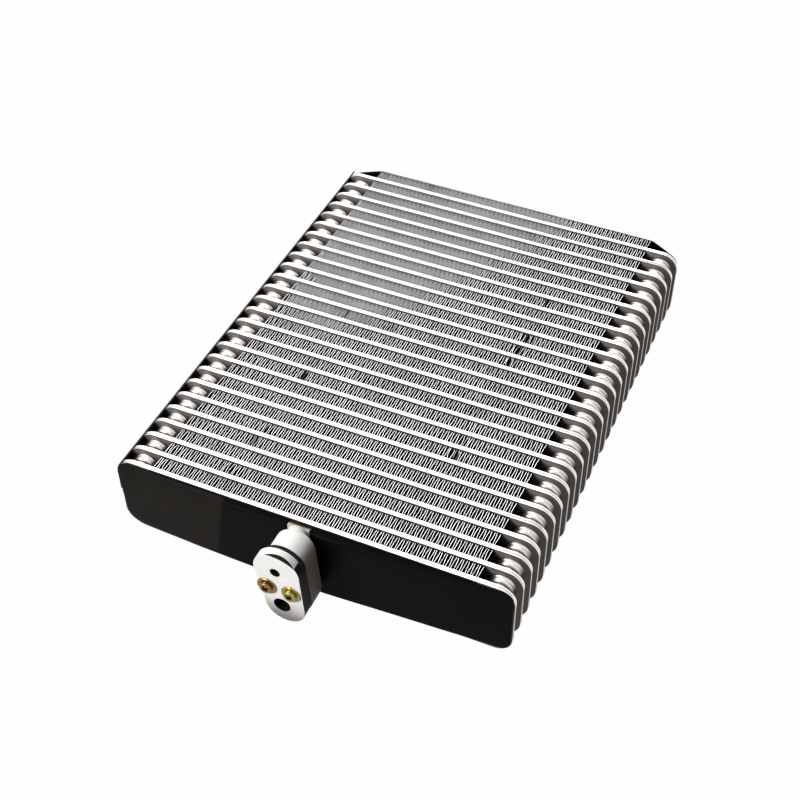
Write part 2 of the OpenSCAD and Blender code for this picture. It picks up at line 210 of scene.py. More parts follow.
def makeSpotGroup():
    # scattered spots: cells whose middle is nearer than Reach, blurred a little
    sizes = {"Size": 200.0, "Reach": 0.2, "Share": 0.3}
    group, given, out = startGroup("scatteredSpots", sizes, ("Mask",))
    cells = addNode(group, "TexVoronoi", feature="F1")
    join(given["Vector"], cells.inputs["Vector"])
    join(given["Size"], cells.inputs["Scale"])
    near = setInputs(addNode(group, "MapRange"), From_Min=0.0, To_Min=1.0, To_Max=0.0)
    join(cells.outputs["Distance"], near.inputs["Value"])
    join(given["Reach"], near.inputs["From Max"])
    pick = addNode(group, "SeparateColor")
    join(cells.outputs["Color"], pick.inputs[0])
    chosen = mathNode("LESS_THAN", pick.outputs[0], given["Share"])
    join(product(near.outputs[0], chosen), out["Mask"])
    return group


def makeStripeGroup():
    # a line repeated along one axis: Wave runs from 0 to 1 and is 0.5 on each line, which Mask
    # picks out, and the hundred that is added keeps it above nought
    sizes = {"Start": 0.0, "Pitch": core["pitch"] * mm, "Width": 0.1 * mm}
    group, given, out = startGroup("repeatedLine", sizes, ("Mask", "Wave"))
    moved = mathNode("SUBTRACT", given["Vector"], given["Start"])
    turns = mathNode("ADD", mathNode("DIVIDE", moved, given["Pitch"]), 100.5)
    wave = mathNode("FRACT", turns)
    away = product(distance(wave, 0.5), given["Pitch"])
    outside = mathNode("DIVIDE", away, given["Width"], clamp=True)
    join(mathNode("SUBTRACT", 1.0, outside), out["Mask"])
    join(wave, out["Wave"])
    return group


def makeOutlineGroup():
    # distance from the core's rounded outline in XZ: corner radius less the length of what
    # reaches past the corner's middle
    middle = {"X": core["middleX"] * mm, "Z": core["middleZ"] * mm}
    half = {"X": core["halfWidth"] * mm, "Z": core["depth"] / 2 * mm}
    corner = core["corner"] * mm
    group, given, out = startGroup("outlineDistance", {}, ("Distance",))
    axes = splitPlace(given["Vector"])
    past = [mathNode("SUBTRACT", distance(axes[axis], middle[axis]),
                     half[axis] - corner) for axis in ("X", "Z")]
    squares = [mathNode("POWER", mathNode("MAXIMUM", value, 0.0), 2.0)
               for value in past]
    length = mathNode("SQRT", mathNode("ADD", *squares))
    inner = mathNode("MINIMUM", mathNode("MAXIMUM", *past), 0.0)
    total = mathNode("ADD", length, inner)
    join(mathNode("SUBTRACT", corner, total), out["Distance"])
    return group


grainGroup = makeGrainGroup()
spotGroup = makeSpotGroup()
stripeGroup = makeStripeGroup()
outlineGroup = makeOutlineGroup()


def placeGroup(group, vector, **values):
    node = setInputs(addNode(vector.id_data, "Group", node_tree=group), **values)
    join(vector, node.inputs["Vector"])
    return node.outputs


def startMaterial(name, **values):
    material = bpy.data.materials.new(name)
    material.use_nodes = True
    tree = material.node_tree
    shader = setInputs(tree.nodes["Principled BSDF"], **values)
    place = addNode(tree, "TexCoord").outputs["Object"]
    return material, shader, place


def setSurface(shader, colour, rough, height, depth):
    bump = setInputs(addNode(shader.id_data, "Bump"), Distance=depth, Strength=1.0)
    join(height, bump.inputs["Height"])
    for name, source in (("Base Color", colour), ("Roughness", rough), ("Normal", bump.outputs[0])):
        join(source, shader.inputs[name])


tubeFinish = {
    "bright": (0.95, 0.94, 0.93),
    "stain": (0.82, 0.78, 0.75), "stainSpan": (-0.6, 1.1), "stainShare": 0.6,
    "edgeBand": (0.06 * mm, 0.26 * mm),
    "paintedShadeEdgeSide": (0.58, 0.53, 0.48), "edgeSideBand": (11 * mm, 17 * mm),
    "lineBand": pitchShare(1.05, 1.35), "sideLine": 0.04,
    "face": (0.10, 0.088, 0.083),
    "paintedShadeBesideFins": (0.020, 0.018, 0.017), "finSpan": (89.2 * mm, 90.0 * mm),
    "paintedHighlightCupTop": (0.80, 0.73, 0.70), "paintedLitNearCup": (0.60, 0.53, 0.50),
    "paintedShadeCupSide": (0.045, 0.039, 0.035), "cupBand": pitchShare(1.45, 1.9),
    "shoulderBand": (13 * mm, 19 * mm), "nearBand": (2 * mm, 15 * mm),
    "meetBand": (0.46, 0.485), "meetShare": 0.75,
    "seam": (0.30, 0.27, 0.25), "seamWidth": 0.09 * mm, "seamShare": 0.13,
    "spot": (0.24, 0.21, 0.19), "spotShare": 0.3,
    "grain": {"Fine_Size": 2600.0, "Broad_Size": 45.0, "Mix": 0.3},
    "spots": {"Size": 420.0, "Reach": 0.35, "Share": 0.12},
    "metal": (0.55, 1.0), "rough": (0.48, 0.60), "cleanGloss": 0.24,
    "bump": 0.008 * mm,
}


def tubeMaterial(firstSeam, finish):
    # brazed plate: bright outer edges that turn darker down the sides, faces darkened by painted
    # shade, and cups with a painted highlight on top and painted shade at their sides, and a line
    # where two plates meet
    material, shader, place = startMaterial("brazedPlate", Specular_IOR_Level=0.1)
    grain = placeGroup(grainGroup, place, **finish["grain"])
    spots = placeGroup(spotGroup, place, **finish["spots"])
    toOutline = placeGroup(outlineGroup, place)["Distance"]
    axes = splitPlace(place)
    seam = placeGroup(stripeGroup, axes["Y"], Start=firstSeam, Pitch=core["pitch"] * mm,
                      Width=finish["seamWidth"])
    offMiddle = distance(axes["Z"], core["middleZ"] * mm)
    offSeam = distance(seam["Wave"], 0.5)
    offCentre = distance(axes["X"], core["middleX"] * mm)
    stained = product(span(grain["Broad"], finish["stainSpan"]), finish["stainShare"], clamp=True)
    # painted shade: the bright edges turn beige down the sides, away from the top and bottom
    onTop = rising(offMiddle, finish["edgeSideBand"])
    edge = mixColour(stained, finish["bright"], finish["stain"])
    edge = mixColour(onTop, finish["paintedShadeEdgeSide"], edge)
    # painted light: of the two cups that meet between two tubes, the one in front is painted lit
    # further down its side
    inFront = mathNode("GREATER_THAN", seam["Wave"], 0.5)
    paintedLitNearCup = product(inFront, rising(offMiddle, finish["nearBand"]))
    paintedLightShoulder = mathNode("MAXIMUM", rising(offMiddle, finish["shoulderBand"]), paintedLitNearCup)
    meeting = rising(offSeam, finish["meetBand"], finish["meetShare"])
    # painted highlight on the cups' tops and shoulders, painted shade at their sides and along the
    # line where the two cups meet
    paintedLightCup = mixColour(inFront, finish["paintedHighlightCupTop"], finish["paintedLitNearCup"])
    paintedLightCup = mixColour(paintedLightShoulder, finish["paintedShadeCupSide"], paintedLightCup)
    paintedLightCup = mixColour(meeting, paintedLightCup, finish["paintedShadeCupSide"])
    # painted shade: the flat faces between the edges and the cups are dark, darkest beside the fins
    besideFins = fading(offCentre, finish["finSpan"])
    face = mixColour(besideFins, finish["face"], finish["paintedShadeBesideFins"])
    # the bright line is narrower down the sides
    narrower = product(mathNode("SUBTRACT", 1.0, onTop), finish["sideLine"])
    inLine = fading(mathNode("ADD", offSeam, narrower), finish["lineBand"])
    onEdge = product(fading(toOutline, finish["edgeBand"]), inLine)
    onCup = rising(offSeam, finish["cupBand"])
    onSpot = product(spots["Mask"], finish["spotShare"])
    onSeam = product(seam["Mask"], finish["seamShare"])
    colour = mixColour(onEdge, mixColour(onCup, face, paintedLightCup), edge)
    colour = mixColour(onSpot, colour, finish["spot"])
    colour = mixColour(onSeam, colour, finish["seam"])
    # the faces between the edges and the cups are matt, and so are the cups' sides
    clean = mathNode("MAXIMUM", onEdge, product(onCup, paintedLightShoulder))
    rough = mathNode("SUBTRACT", span(grain["Height"], finish["rough"]),
                     product(clean, finish["cleanGloss"]))
    join(span(clean, finish["metal"]), shader.inputs["Metallic"])
    setSurface(shader, colour, rough, grain["Height"], finish["bump"])
    return material


finFinish = {
    "edge": (0.97, 0.97, 0.96), "edgeBand": (0.75 * mm, 0.81 * mm), "edgeSpan": (0.75, 1.2),
    "wall": (0.024, 0.022, 0.021),
    "paintedShadeDeep": (0.004, 0.004, 0.004), "deepBand": (0.85 * mm, 1.4 * mm),
    "crestBand": pitchShare(3.45, 3.85), "crestShare": 0.03,
    "endBand": (89.1 * mm, 89.4 * mm), "endShare": 0.3,
    "louvre": 1.1 * mm,
    "grain": {"Fine_Size": 1500.0, "Broad_Size": 28.0, "Mix": 0.5},
    "grainShare": 0.3, "rough": (0.34, 0.55), "bump": 0.2 * mm,
}


def finMaterial(firstSeam, finish):
    # thin strip: bright where it was cut, its walls painted near black as shade and darker still
    # further in, the cut edge dimmed as painted shade at its crests and dimmed near its ends,
    # louvres as a wave up its depth
    material, shader, place = startMaterial("finStrip", Specular_IOR_Level=0.0)
    grain = placeGroup(grainGroup, place, **finish["grain"])
    toOutline = placeGroup(outlineGroup, place)["Distance"]
    axes = splitPlace(place)
    louvre = placeGroup(stripeGroup, axes["Z"], Start=0.0, Pitch=finish["louvre"])
    pitch = core["pitch"] * mm
    gap = placeGroup(stripeGroup, axes["Y"], Start=firstSeam + pitch / 2, Pitch=pitch)
    offGap = distance(gap["Wave"], 0.5)
    offCentre = distance(axes["X"], core["middleX"] * mm)
    cut = product(fading(toOutline, finish["edgeBand"]),
                  span(grain["Broad"], finish["edgeSpan"]), clamp=True)
    cut = product(cut, fading(offGap, finish["crestBand"], 1.0, finish["crestShare"]))
    cut = product(cut, fading(offCentre, finish["endBand"], 1.0, finish["endShare"]))
    # painted shade: the walls are near black and darker still further in, and the cut edge is
    # dimmed at the crests
    shallow = fading(toOutline, finish["deepBand"])
    colour = mixColour(shallow, finish["paintedShadeDeep"], finish["wall"])
    colour = mixColour(cut, colour, finish["edge"])
    join(cut, shader.inputs["Metallic"])
    grainWave = product(grain["Fine"], finish["grainShare"])
    height = mathNode("ADD", louvre["Wave"], grainWave)
    rough = span(grain["Height"], finish["rough"])
    setSurface(shader, colour, rough, height, finish["bump"])
    return material


castFinish = {
    "pale": (0.92, 0.91, 0.89), "dull": (0.80, 0.77, 0.74), "dullSpan": (-0.3, 1.0),
    "low": (0.075, 0.062, 0.052), "lowBand": (4 * mm, 24 * mm), "lowShare": 0.85,
    "lowUneven": 8 * mm,
    "spot": (0.5, 0.48, 0.45), "spotShare": 0.4,
    "paintedShadeSide": (0.17, 0.14, 0.12),
    "sideBand": (3.5 * mm, 8.5 * mm), "sideShare": 0.92,
    "bodyBand": (-149.5 * mm, -148.5 * mm),
    "browned": (0.27, 0.21, 0.175),
    "footBand": (-134.5 * mm, -130.5 * mm), "footShare": 0.85,
    "grain": {"Fine_Size": 1800.0, "Broad_Size": 120.0, "Mix": 0.45},
    "spots": {"Size": 900.0, "Reach": 0.4, "Share": 0.15},
    "rough": (0.48, 0.68), "bump": 0.12 * mm,
}


def castMaterial(finish):
    # cast and tumbled aluminium: pale and matt, with painted shade low down and on the right, and
    # browner at the foot
    material, shader, place = startMaterial("castAluminium", Metallic=0.12, Specular_IOR_Level=0.15)
    grain = placeGroup(grainGroup, place, **finish["grain"])
    spots = placeGroup(spotGroup, place, **finish["spots"])
    axes = splitPlace(place)
    # painted shade: darker towards the bottom, its edge made uneven by the grain
    height = mathNode("ADD", axes["Z"], product(grain["Broad"], finish["lowUneven"]))
    paintedShadeLowDown = fading(height, finish["lowBand"], finish["lowShare"], 0.0)
    onSpot = product(spots["Mask"], finish["spotShare"])
    # painted shade on the body's right side
    paintedShadeOnRight = product(rising(axes["X"], finish["sideBand"], finish["sideShare"]),
                      rising(axes["Y"], finish["bodyBand"]))
    atFoot = rising(axes["Y"], finish["footBand"], finish["footShare"])
    tone = span(grain["Broad"], finish["dullSpan"])
    colour = mixColour(tone, finish["pale"], finish["dull"])
    colour = mixColour(paintedShadeLowDown, colour, finish["low"])
    colour = mixColour(onSpot, colour, finish["spot"])
    colour = mixColour(paintedShadeOnRight, colour, finish["paintedShadeSide"])
    colour = mixColour(atFoot, colour, finish["browned"])
    rough = span(grain["Height"], finish["rough"])
    setSurface(shader, colour, rough, grain["Height"], finish["bump"])
    return material


skinFinish = {
    "tones": ((0.0026, 0.0021, 0.0019), (0.0044, 0.0036, 0.0032)),
    "toneSpan": (-0.2, 1.2),
    "paintedReflection": (0.0135, 0.0115, 0.0098),
    "paintedReflectionSpan": (0.5, 1.3),
    "creaseBand": (-53.5 * mm, -51.5 * mm),
    "creaseLean": 0.16,
    "grain": {"Fine_Size": 700.0, "Broad_Size": 58.0, "Mix": 0.5},
    "rough": (0.30, 0.46),
    "bump": 0.06 * mm,
}


def skinMaterial(finish):
    # black film over foam: faintly brown, a soft sheen, and on the front left of the leaning crease
    # a paler painted reflection
    material, shader, place = startMaterial("blackSkin", Specular_IOR_Level=0.018)
    grain = placeGroup(grainGroup, place, **finish["grain"])
    axes = splitPlace(place)
    # painted reflection: the facet left of the leaning crease is paler, on the front only
    lean = mathNode("SUBTRACT", axes["X"], product(axes["Z"], finish["creaseLean"]))
    paintedReflection = product(fading(lean, finish["creaseBand"]), span(grain["Broad"], finish["paintedReflectionSpan"]))
    paintedReflection = product(paintedReflection, mathNode("LESS_THAN", axes["Y"], 0.0))
    colour = mixColour(span(grain["Broad"], finish["toneSpan"]), *finish["tones"])
    colour = mixColour(paintedReflection, colour, finish["paintedReflection"])
    rough = span(grain["Height"], finish["rough"])
    setSurface(shader, colour, rough, grain["Height"], finish["bump"])
    return material


# plain finishes, with two mixed tones, uneven gloss and a small grain: the tones, the roughness,
# the size and depth of the grain, and the shader's own settings
plainFinishes = {
    "portShade": ((0.007, 0.006, 0.0055), (0.016, 0.014, 0.012), (0.45, 0.7), 900, 0.05 * mm,
                  {"Specular_IOR_Level": 0.08}),
    "sealRubber": ((0.006, 0.006, 0.006), (0.012, 0.0115, 0.011), (0.5, 0.75), 900, 0.1 * mm,
                   {"Specular_IOR_Level": 0.12}),
    "blackFoam": ((0.016, 0.015, 0.014), (0.035, 0.033, 0.031), (0.6, 0.85), 1200, 0.2 * mm, {}),
    "copperZinc": ((0.34, 0.20, 0.09), (0.15, 0.10, 0.035), (0.14, 0.26), 800, 0.03 * mm,
                   {"Metallic": 1.0}),
    "yellowZinc": ((0.42, 0.35, 0.11), (0.17, 0.14, 0.035), (0.14, 0.26), 800, 0.03 * mm,
                   {"Metallic": 1.0}),
    "ductMetal": ((0.30, 0.22, 0.16), (0.20, 0.15, 0.11), (0.3, 0.5), 900, 0.05 * mm,
                  {"Metallic": 1.0}),
}
plainBlend = {"toneSpan": (-0.2, 1.2), "coarseness": 12}


def plainMaterial(name, first, second, rough, size, bump, settings):
    material, shader, place = startMaterial(name, **settings)
    grain = placeGroup(grainGroup, place, Fine_Size=size,
                       Broad_Size=size / plainBlend["coarseness"], Mix=0.5)
    colour = mixColour(span(grain["Broad"], plainBlend["toneSpan"]), first, second)
    setSurface(shader, colour, span(grain["Height"], rough), grain["Height"], bump)
    return material


# mesh helpers
def gridQuads(across, along, wrapAcross=False, wrapAlong=False):
    # corner numbers of each cell of a grid that is stored row by row
    i = np.arange(across if wrapAcross else across - 1)
    j = np.arange(along if wrapAlong else along - 1)
    i, j = np.meshgrid(i, j)
    nextI, nextJ = (i + 1) % across, (j + 1) % along
    corners = (j * across + i, j * across + nextI, nextJ * across + nextI, nextJ * across + i)
    return np.stack(corners, -1).reshape(-1, 4)


def finishPiece(name, mesh, material, smoothAngle):
    mesh.shade_smooth()
    mesh.set_sharp_from_angle(angle=math.radians(smoothAngle))
    mesh.materials.clear()
    mesh.materials.append(material)
    piece = bpy.data.objects.new(name, mesh)
    bpy.context.scene.collection.objects.link(piece)
    return piece


def newPiece(name, points, faces, material, smoothAngle):
    mesh = bpy.data.meshes.new(name)
    mesh.from_pydata(points.reshape(-1, 3).tolist(), [], faces.tolist())
    mesh.update()
    return finishPiece(name, mesh, material, smoothAngle)


def standFor(piece, slot, *names):
    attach(piece, "root")
    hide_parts(*names)


def paint(name, material):
    for holder in nodes[name].material_slots:
        holder.material = material


def editMesh(mesh, change):
    work = bmesh.new()
    work.from_mesh(mesh)
    change(work)
    work.to_mesh(mesh)
    work.free()


def mergeCorners(mesh, reach):
    editMesh(mesh, lambda work: bmesh.ops.remove_doubles(work, verts=work.verts, dist=reach))


def turnOutward(mesh):
    editMesh(mesh, lambda work: bmesh.ops.recalc_face_normals(work, faces=work.faces))


def mergedCopy(name, newName):
    # a node's loose triangles joined at their corners
    mesh = nodes[name].data.copy()
    mesh.name = newName
    mergeCorners(mesh, 1e-6)
    return mesh


def thicken(piece, thickness, offset):
    solid = piece.modifiers.new("sheetThickness", "SOLIDIFY")
    solid.thickness = thickness
    solid.offset = offset


def rolled(x, y, angle):
    # x and y turned by an angle: x cos a - y sin a and x sin a + y cos a
    c, s = math.cos(angle), math.sin(angle)
    return x * c - y * s, x * s + y * c


def waves(x, seed, length, count=5):
    # smooth unevenness: a sum of sines of nearby lengths, each with its own start
    dice = np.random.RandomState(seed)
    lengths = length * dice.uniform(0.5, 2.0, count)
    starts = dice.uniform(0, 2 * math.pi, count)
    return np.sin(2 * math.pi * x[..., None] / lengths + starts).sum(-1) / count


def eased(count):
    # shares from 0 to 1 that lie closer together near both ends: (1 - cos a) / 2
    return (1 - np.cos(np.linspace(0, math.pi, count))) / 2


# fins: one corrugated strip each, its cut edges a little bent as in any handled core
finStrip = {
    "walls": 127,
    "slant": 0.38 * mm,
    "thickness": 0.18 * mm,
    # share of the height, and the strip's thickness there in mm
    "rows": ((0.0, 0.16), (0.011, 0.16), (0.022, 0.15), (0.3, 0.15), (0.7, 0.15), (0.95, 0.15),
             (0.978, 0.15), (0.989, 0.16), (1.0, 0.16)),
    "spread": (0.85, 1.15),
    "bow": 0.16 * mm,
    "lean": 0.20 * mm,
    "leanLength": 30 * mm,
    "leanHold": 0.8,
    "drop": 0.04 * mm,
    "roughFrom": -70 * mm,
    "roughRun": 12 * mm,
    "roughShare": (0.2, 1.3),
    "roughGain": 1.5,
    "pressBend": 0.75 * mm,
    "pressDrop": 0.10 * mm,
    "pressReach": 1.25,
    "pressHold": 0.5,
    "edgePower": 9,
    "seed": 100,
}
# fin number, place along X and width in mm, and how hard the spot is pressed
pressedSpots = (
    (2, -52.7, 9.5, 0.8), (4, -48.7, 6.5, 0.8), (5, -47.7, 5.0, 0.6), (9, -48.7, 6.0, 0.9),
    (10, -48.5, 5.0, 0.4), (14, -51.5, 10.5, 0.6), (16, -51.5, 7.0, 0.3), (17, -52.0, 7.0, 0.4),
    (23, -51.0, 8.0, 0.5), (26, -53.5, 8.0, 0.6), (7, 47.7, 5.5, 1.0), (8, 49.3, 6.0, 0.8),
    (9, 48.7, 5.0, 0.4), (10, 47.7, 5.0, 0.4), (14, 49.0, 6.5, 0.9), (15, 51.0, 7.5, 1.0),
    (16, 51.2, 9.5, 0.7), (19, 50.6, 6.5, 0.8), (23, 50.0, 7.0, 0.4), (24, 50.0, 7.0, 0.4),
)


def finPath(low, high, shape):
    # a zigzag of walls with a short flat crest at each turn, its ends rounded off: X, the share
    # of the height from -1 to 1, and the wall's number
    inset = shape["thickness"] / 2
    turns = np.linspace(low.x + inset, high.x - inset, shape["walls"] + 1)
    half = (turns[1] - turns[0] - shape["slant"]) / 2
    offsets = np.tile(np.array([-1.0, -0.6, 0.6, 1.0]) * half, (len(turns), 1))
    offsets[0] = (0, 0.3 * half, 0.6 * half, half)
    offsets[-1] = (-half, -0.6 * half, -0.3 * half, 0)
    side = np.where(np.arange(len(turns)) % 2 == 0, -1.0, 1.0)
    crestX = turns[:, None] + offsets
    rounded = np.tile([0.92, 1.0, 1.0, 0.92], (len(turns), 1))
    rounded[0, 0] = rounded[-1, 3] = 1.0
    crestY = side[:, None] * rounded
    part = np.array([1 / 3, 2 / 3])
    path = []
    for crest in (crestX, crestY):
        wall = crest[:-1, 3:] * (1 - part) + crest[1:, :1] * part
        path.append(np.concatenate([np.hstack([crest[:-1], wall]).ravel(), crest[-1]]))
    number = np.repeat(np.arange(shape["walls"]), 6)
    return *path, np.concatenate([number, np.full(4, shape["walls"] - 1)])


def finUnevenness(number, x, y, wall, shape):
    # how far the cut edges bend aside and stand back, least at the crests and most at the
    # pressed spots, and each wall's share of the strip's thickness
    dice = np.random.RandomState(shape["seed"] + number)
    walls = shape["walls"]
    bend = dice.uniform(-1, 1, walls)[wall] * (1 - y * y) * shape["bow"]
    held = 1 - y * y * shape["leanHold"]
    lean = waves(x, number, shape["leanLength"]) * held * shape["lean"]
    rough = np.clip((shape["roughFrom"] - x) / shape["roughRun"], 0, 1)
    bend = bend * (1 + shape["roughGain"] * rough * dice.uniform(*shape["roughShare"]))
    drop = dice.uniform(0, shape["drop"], walls)[wall]
    for fin, place, width, force in pressedSpots:
        if fin == number:
            away = np.abs(x / mm - place) / (width / 2)
            near = np.sqrt(np.clip(shape["pressReach"] - away, 0, 1)) * force
            pushed = dice.uniform(-1, 1, walls)[wall] * shape["pressBend"]
            bend = bend + pushed * near * (1 - y * y * shape["pressHold"])
            drop = drop + dice.uniform(0, 1, walls)[wall] * shape["pressDrop"] * near
    return bend + lean, drop, dice.uniform(*shape["spread"], walls)[wall]


def finPiece(number, material, shape):
    name = f"fin_{number:02d}"
    low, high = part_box(name)
    x, y, wall = finPath(low, high, shape)
    aside, drop, spread = finUnevenness(number, x, y, wall, shape)
    halfHeight = (high.y - low.y - shape["thickness"]) / 2
    flat = np.stack([x, (low.y + high.y) / 2 + y * halfHeight], -1)
    step = np.gradient(flat, axis=0)
    step /= np.linalg.norm(step, axis=1, keepdims=True)
    normal = np.stack([-step[:, 1], step[:, 0]], -1) / 2 * spread[:, None]
    # each row goes along one side of the strip and back along the other
    aside, drop = (np.concatenate([v, v[::-1]]) for v in (aside, drop))
    rows = []
    for share, thickness in shape["rows"]:
        edge = abs(2 * share - 1) ** shape["edgePower"]
        offset = normal * (thickness * mm)
        loop = np.vstack([flat + offset, (flat - offset)[::-1]])
        moved = np.clip(loop, (low.x, low.y), (high.x, high.y))
        moved[:, 0] = np.clip(moved[:, 0] + aside * edge, low.x, high.x)
        back = np.sign(share - 0.5) * drop * edge ** 2
        rows.append(np.column_stack([moved, low.z + (high.z - low.z) * share - back]))
    points = np.array(rows)
    count = points.shape[1]
    faces = [gridQuads(count, len(rows), wrapAcross=True)]
    k = np.arange(count // 2 - 1)
    for start in (0, (len(rows) - 1) * count):
        cap = np.stack([k, k + 1, count - 2 - k, count - 1 - k], -1) + start
        faces.append(cap if start else cap[:, ::-1])
    piece = newPiece(f"stripOffin{number:02d}", points, np.vstack(faces), material, smoothAngle=25)
    turnOutward(piece.data)
    standFor(piece, "fin_aluminium", name)


# tubes: merged copies of the nodes, their rims slightly uneven near the outline
rimWave = {
    "reach": 2.4 * mm,
    "aside": 0.12 * mm,
    "down": 0.14 * mm,
    "downFrom": 40 * mm,
    "downRun": 4 * mm,
    "length": 45 * mm,
    "seeds": (500, 700),
}


def tubePiece(number, material, shape):
    name = f"tube_{number:02d}"
    mesh = mergedCopy(name, f"platesOfTube{number:02d}")
    points = np.empty(len(mesh.vertices) * 3)
    mesh.vertices.foreach_get("co", points)
    points = points.reshape(-1, 3)
    # distance to the rounded outline of the plates
    middle = np.array([core["middleX"], core["middleZ"]]) * mm
    half = np.array([core["halfWidth"], core["depth"] / 2]) * mm
    r = core["corner"] * mm
    away = np.abs(points[:, [0, 2]] - middle) - (half - r)
    toOutline = r - np.linalg.norm(np.maximum(away, 0), axis=1) - np.minimum(away.max(1), 0)
    rim = np.clip(1 - toOutline / shape["reach"], 0, 1)
    top = rim * np.clip((points[:, 2] - shape["downFrom"]) / shape["downRun"], 0, 1)
    asideWave, downWave = (waves(points[:, 0], seed + number, shape["length"])
                           for seed in shape["seeds"])
    points[:, 1] += rim * asideWave * shape["aside"]
    points[:, 2] -= top * (1 + downWave) / 2 * shape["down"]
    mesh.vertices.foreach_set("co", points.ravel())
    mesh.update()
    piece = finishPiece(mesh.name, mesh, material, smoothAngle=32)
    standFor(piece, "tube_aluminium", name)


# cast block, flange and seal: merged copies with flat areas made one face and edges rounded
softEdges = {
    "flat": math.radians(0.5), "edge": math.radians(38), "segments": 3, "sealSegments": 2,
    "block": 0.5 * mm, "flange": 0.3 * mm, "seal": 0.3 * mm,
}


def roundedPiece(name, newName, material, slot, width, segments=softEdges["segments"]):
    mesh = mergedCopy(name, newName)
    editMesh(mesh, lambda work: bmesh.ops.dissolve_limit(
        work, angle_limit=softEdges["flat"], verts=work.verts, edges=work.edges))
    piece = finishPiece(newName, mesh, material, smoothAngle=32)
    bevel = piece.modifiers.new("softEdges", "BEVEL")
    bevel.width = width
    bevel.segments = segments
    bevel.limit_method = "ANGLE"
    bevel.angle_limit = softEdges["edge"]
    bevel.harden_normals = True
    standFor(piece, slot, name)
    return piece


# the joint's own axes: across to the right, along upwards, rolled together about their middle
joint = {
    "roll": math.radians(6),
    "x": -2.2 * mm,
    "z": 23.1 * mm,
    # across, along and radius in mm
    "ports": ((-1.2, 12.0, 2.75), (-1.2, -12.0, 4.6)),
    "portMargin": 0.05,
    "crescentDepth": 2 * mm,
    "crescentLean": (0.2, 0.97),
    "crescentFrom": 4,
    "sideFacing": 0.85,
    "sideFrom": 9,
}


def darkenFaces(piece, dark, crescentEnd=None):
    # faces given the dark material as painted shade: inside the ports, and on the flange the
    # crescent on its upper edge and the right side
    mesh = piece.data
    mesh.materials.append(dark)
    count = len(mesh.polygons)
    centre, normal = np.empty(count * 3), np.empty(count * 3)
    mesh.polygons.foreach_get("center", centre)
    mesh.polygons.foreach_get("normal", normal)
    centre, normal = centre.reshape(-1, 3), normal.reshape(-1, 3)
    across, along = (v / mm for v in rolled(centre[:, 0] - joint["x"], centre[:, 2] - joint["z"],
                                            -joint["roll"]))
    chosen = np.zeros(count, bool)
    for portX, portY, radius in joint["ports"]:
        chosen |= np.hypot(across - portX, along - portY) < radius + joint["portMargin"]
    if crescentEnd:
        least, most = joint["crescentLean"]
        leaning = (np.abs(normal[:, 1]) > least) & (np.abs(normal[:, 1]) < most)
        chosen |= leaning & (along > joint["crescentFrom"]) & (centre[:, 1] < crescentEnd)
        # painted shade on the flange's right side
        toRight = rolled(normal[:, 0], normal[:, 2], -joint["roll"])[0] > joint["sideFacing"]
        chosen |= toRight & (across > 0) & (np.hypot(across, along) > joint["sideFrom"])
    mesh.polygons.foreach_set("material_index", chosen.astype(np.int32))


# screws: a domed head with a cross recess, on a washer
screwShape = {
    "head": 3.45 * mm,
    "headHeight": 2.25 * mm,
    "dome": 0.75 * mm,
    "domeShare": 0.93,
    "domePower": 2.4,
    "recess": 2.2 * mm,
    "recessHalf": 0.9 * mm,
    "recessDepth": 1.3 * mm,
    "sideRun": 0.35 * mm,
    "endRun": 0.5 * mm,
    "shadeFrom": 0.3,
    "washer": 5.3 * mm,
    "washerHeight": 0.8 * mm,
    "shank": 2.0 * mm,
    "length": 13 * mm,
    "rings": 26,
    "segments": 96,
}
# label, place along and across the flange in mm, finish, turn of the cross in radians, and how
# far the washer's rim goes towards a hexagon
screws = (
    ("Left", -7.451, 0.604, "copperZinc", 0.5, 0.0),
    ("Right", 5.651, -1.004, "yellowZinc", 0.9, 0.05),
)


def turned(profile, segments, change=None):
    # a profile of radius and height turned about its axis: x = r cos a, y = r sin a
    angle = np.linspace(0, 2 * math.pi, segments, endpoint=False)
    radius, height = (np.asarray(v)[:, None] for v in zip(*profile))
    radius = radius * (np.ones_like(angle) if change is None else change(angle))
    return np.stack([radius * np.cos(angle), radius * np.sin(angle), height + 0 * angle], -1)


def screwPoints(shape, turn):
    # rings from the middle of the head outwards and down the shank, and the cross sinks the
    # rings that it covers
    head, dome, shank = shape["head"], shape["dome"], shape["shank"]
    base = shape["washerHeight"]
    top, tip = base + shape["headHeight"], base - shape["length"]
    share = shape["domeShare"]
    profile = [(head * share * r, top - dome * (r * share) ** shape["domePower"])
               for r in np.linspace(0.02, 1, shape["rings"])]
    profile += [(head * 0.985, top - dome * 1.15), (head, top - dome * 1.5),
                (head, base + 0.25 * mm), (head * 0.97, base), (shank, base), (shank, tip),
                (0.1 * mm, tip)]
    points = turned(profile, shape["segments"])
    u, v = rolled(points[..., 0], points[..., 1], -turn)
    sunk = np.zeros_like(u)
    for along, across in ((u, v), (v, u)):
        wide = np.clip((shape["recessHalf"] - np.abs(across)) / shape["sideRun"], 0, 1)
        long = np.clip((shape["recess"] - np.abs(along)) / shape["endRun"], 0, 1)
        sunk = np.maximum(sunk, wide * long)
    sunk = np.where(points[..., 2] > base + shape["headHeight"] * 0.5, sunk, 0)
    points[..., 2] -= sunk * shape["recessDepth"]
    return points, sunk


def closeRings(mesh, segments, rings):
    # the first and last ring of a turned piece become flat faces
    def addEnds(work):
        work.verts.ensure_lookup_table()
        last = (rings - 1) * segments
        work.faces.new([work.verts[k] for k in range(segments)])
        work.faces.new([work.verts[last + k] for k in reversed(range(segments))])

    editMesh(mesh, addEnds)


